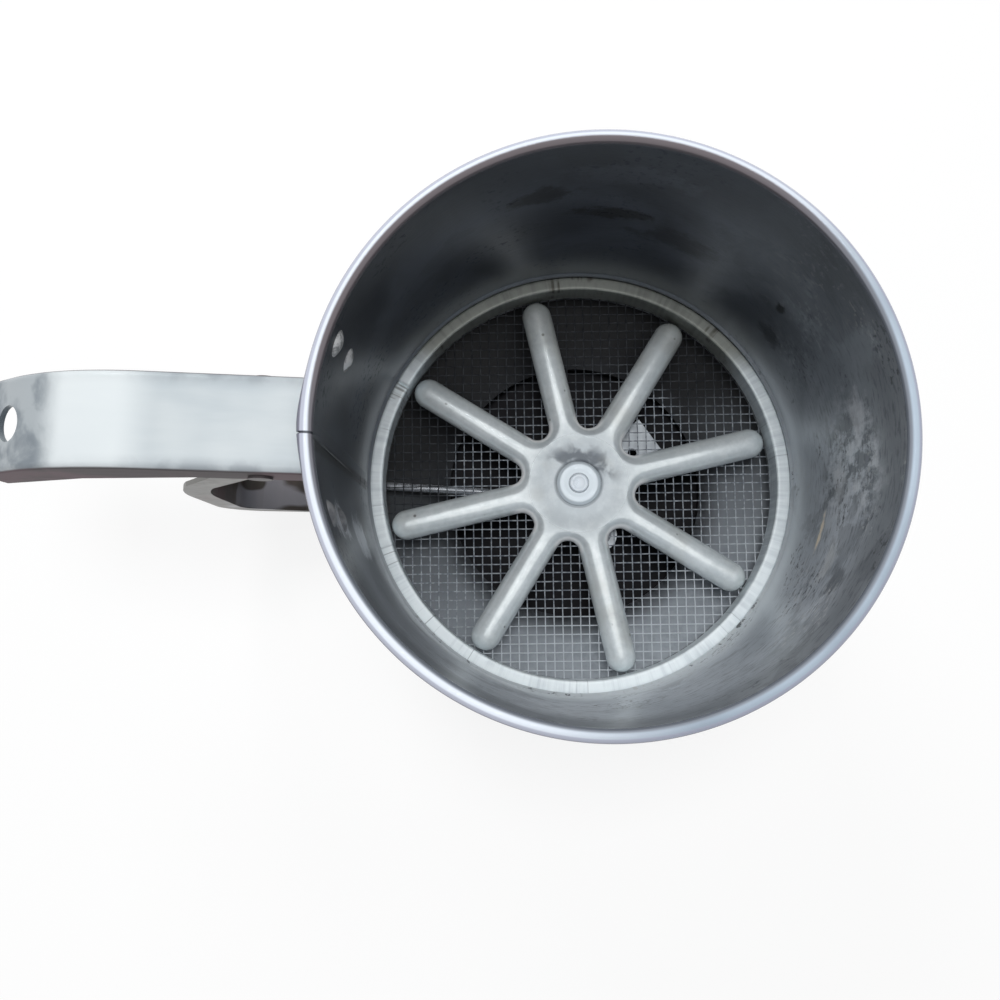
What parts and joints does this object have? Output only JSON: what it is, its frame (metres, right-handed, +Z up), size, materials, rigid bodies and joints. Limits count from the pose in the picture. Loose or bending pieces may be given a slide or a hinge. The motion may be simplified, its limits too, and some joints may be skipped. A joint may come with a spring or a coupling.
{
  "type": "squeeze-handle flour sifter",
  "caption": "Round tin sifter: a can with a wire screen and a star agitator that a sprung trigger under the strap handle swings through a link wire and crank.",
  "frame": {"origin": "on the can's axis, in the plane that the can stands on", "axes": "+Z up along the can's axis; the handle points along -X; Y runs across the handle"},
  "size_m": [0.167, 0.104, 0.097],
  "materials": {
    "tinplate_wall": "tinned sheet steel, worn and grey with use",
    "bright_ring": "tinned sheet steel, rubbed bright",
    "wire_cloth": "tinned woven wire",
    "pressed_star": "tinned pressed steel, soft satin",
    "handle_plate": "bright tinned steel strap, satin",
    "crank_plate": "cut sheet steel, dull",
    "turned_steel": "plain turned steel",
    "rivet_steel": "tinned rivet heads",
    "plain_wire": "drawn wire",
    "spring_wire": "spring wire"
  },
  "bodies": {
    "root": {"can_body": "tinplate_wall", "rim_wire": "plain_wire", "screen_ring": "bright_ring", "clamp_ring": "bright_ring", "mesh_screen": "wire_cloth", "centre_bush": "turned_steel", "bush_plate": "turned_steel", "base_funnel": "tinplate_wall", "handle_bracket": "handle_plate", "handle_rivets": "rivet_steel", "handle": "handle_plate", "trigger_pin": "rivet_steel", "trigger_spring": "spring_wire"},
    "trigger": {"trigger": "handle_plate", "pivot_spacer": "turned_steel"},
    "agitator": {"agitator_star": "pressed_star", "agitator_shaft": "turned_steel", "upper_washer": "turned_steel", "lower_washer": "turned_steel", "crank_plate": "crank_plate"},
    "link": {"link_wire": "plain_wire", "link_clips": "spring_wire"}
  },
  "joints": [
    {"name": "trigger_hinge", "type": "hinge", "parent": "root", "child": "trigger", "pos_m": [-0.06, 0, 0.08785], "axis": [0, 1, 0], "range_deg": [0, 9], "stiffness_Nm_per_rad": 0.3, "springref_deg": -11.46, "deforming": ["trigger_spring"]},
    {"name": "agitator_spin", "type": "hinge", "parent": "root", "child": "agitator", "pos_m": [0, 0, 0.0187], "axis": [0, 0, -1], "range_deg": [0, 54]},
    {"name": "link_pivot", "type": "hinge", "parent": "agitator", "child": "link", "pos_m": [0.0059, -0.01158, 0.0131], "axis": [0, 0, 1], "range_deg": [0, 54]}
  ],
  "couplings": [
    {"joint": "agitator_spin", "follows": "trigger_hinge", "ratio": 6},
    {"joint": "link_pivot", "follows": "trigger_hinge", "ratio": 6}
  ]
}
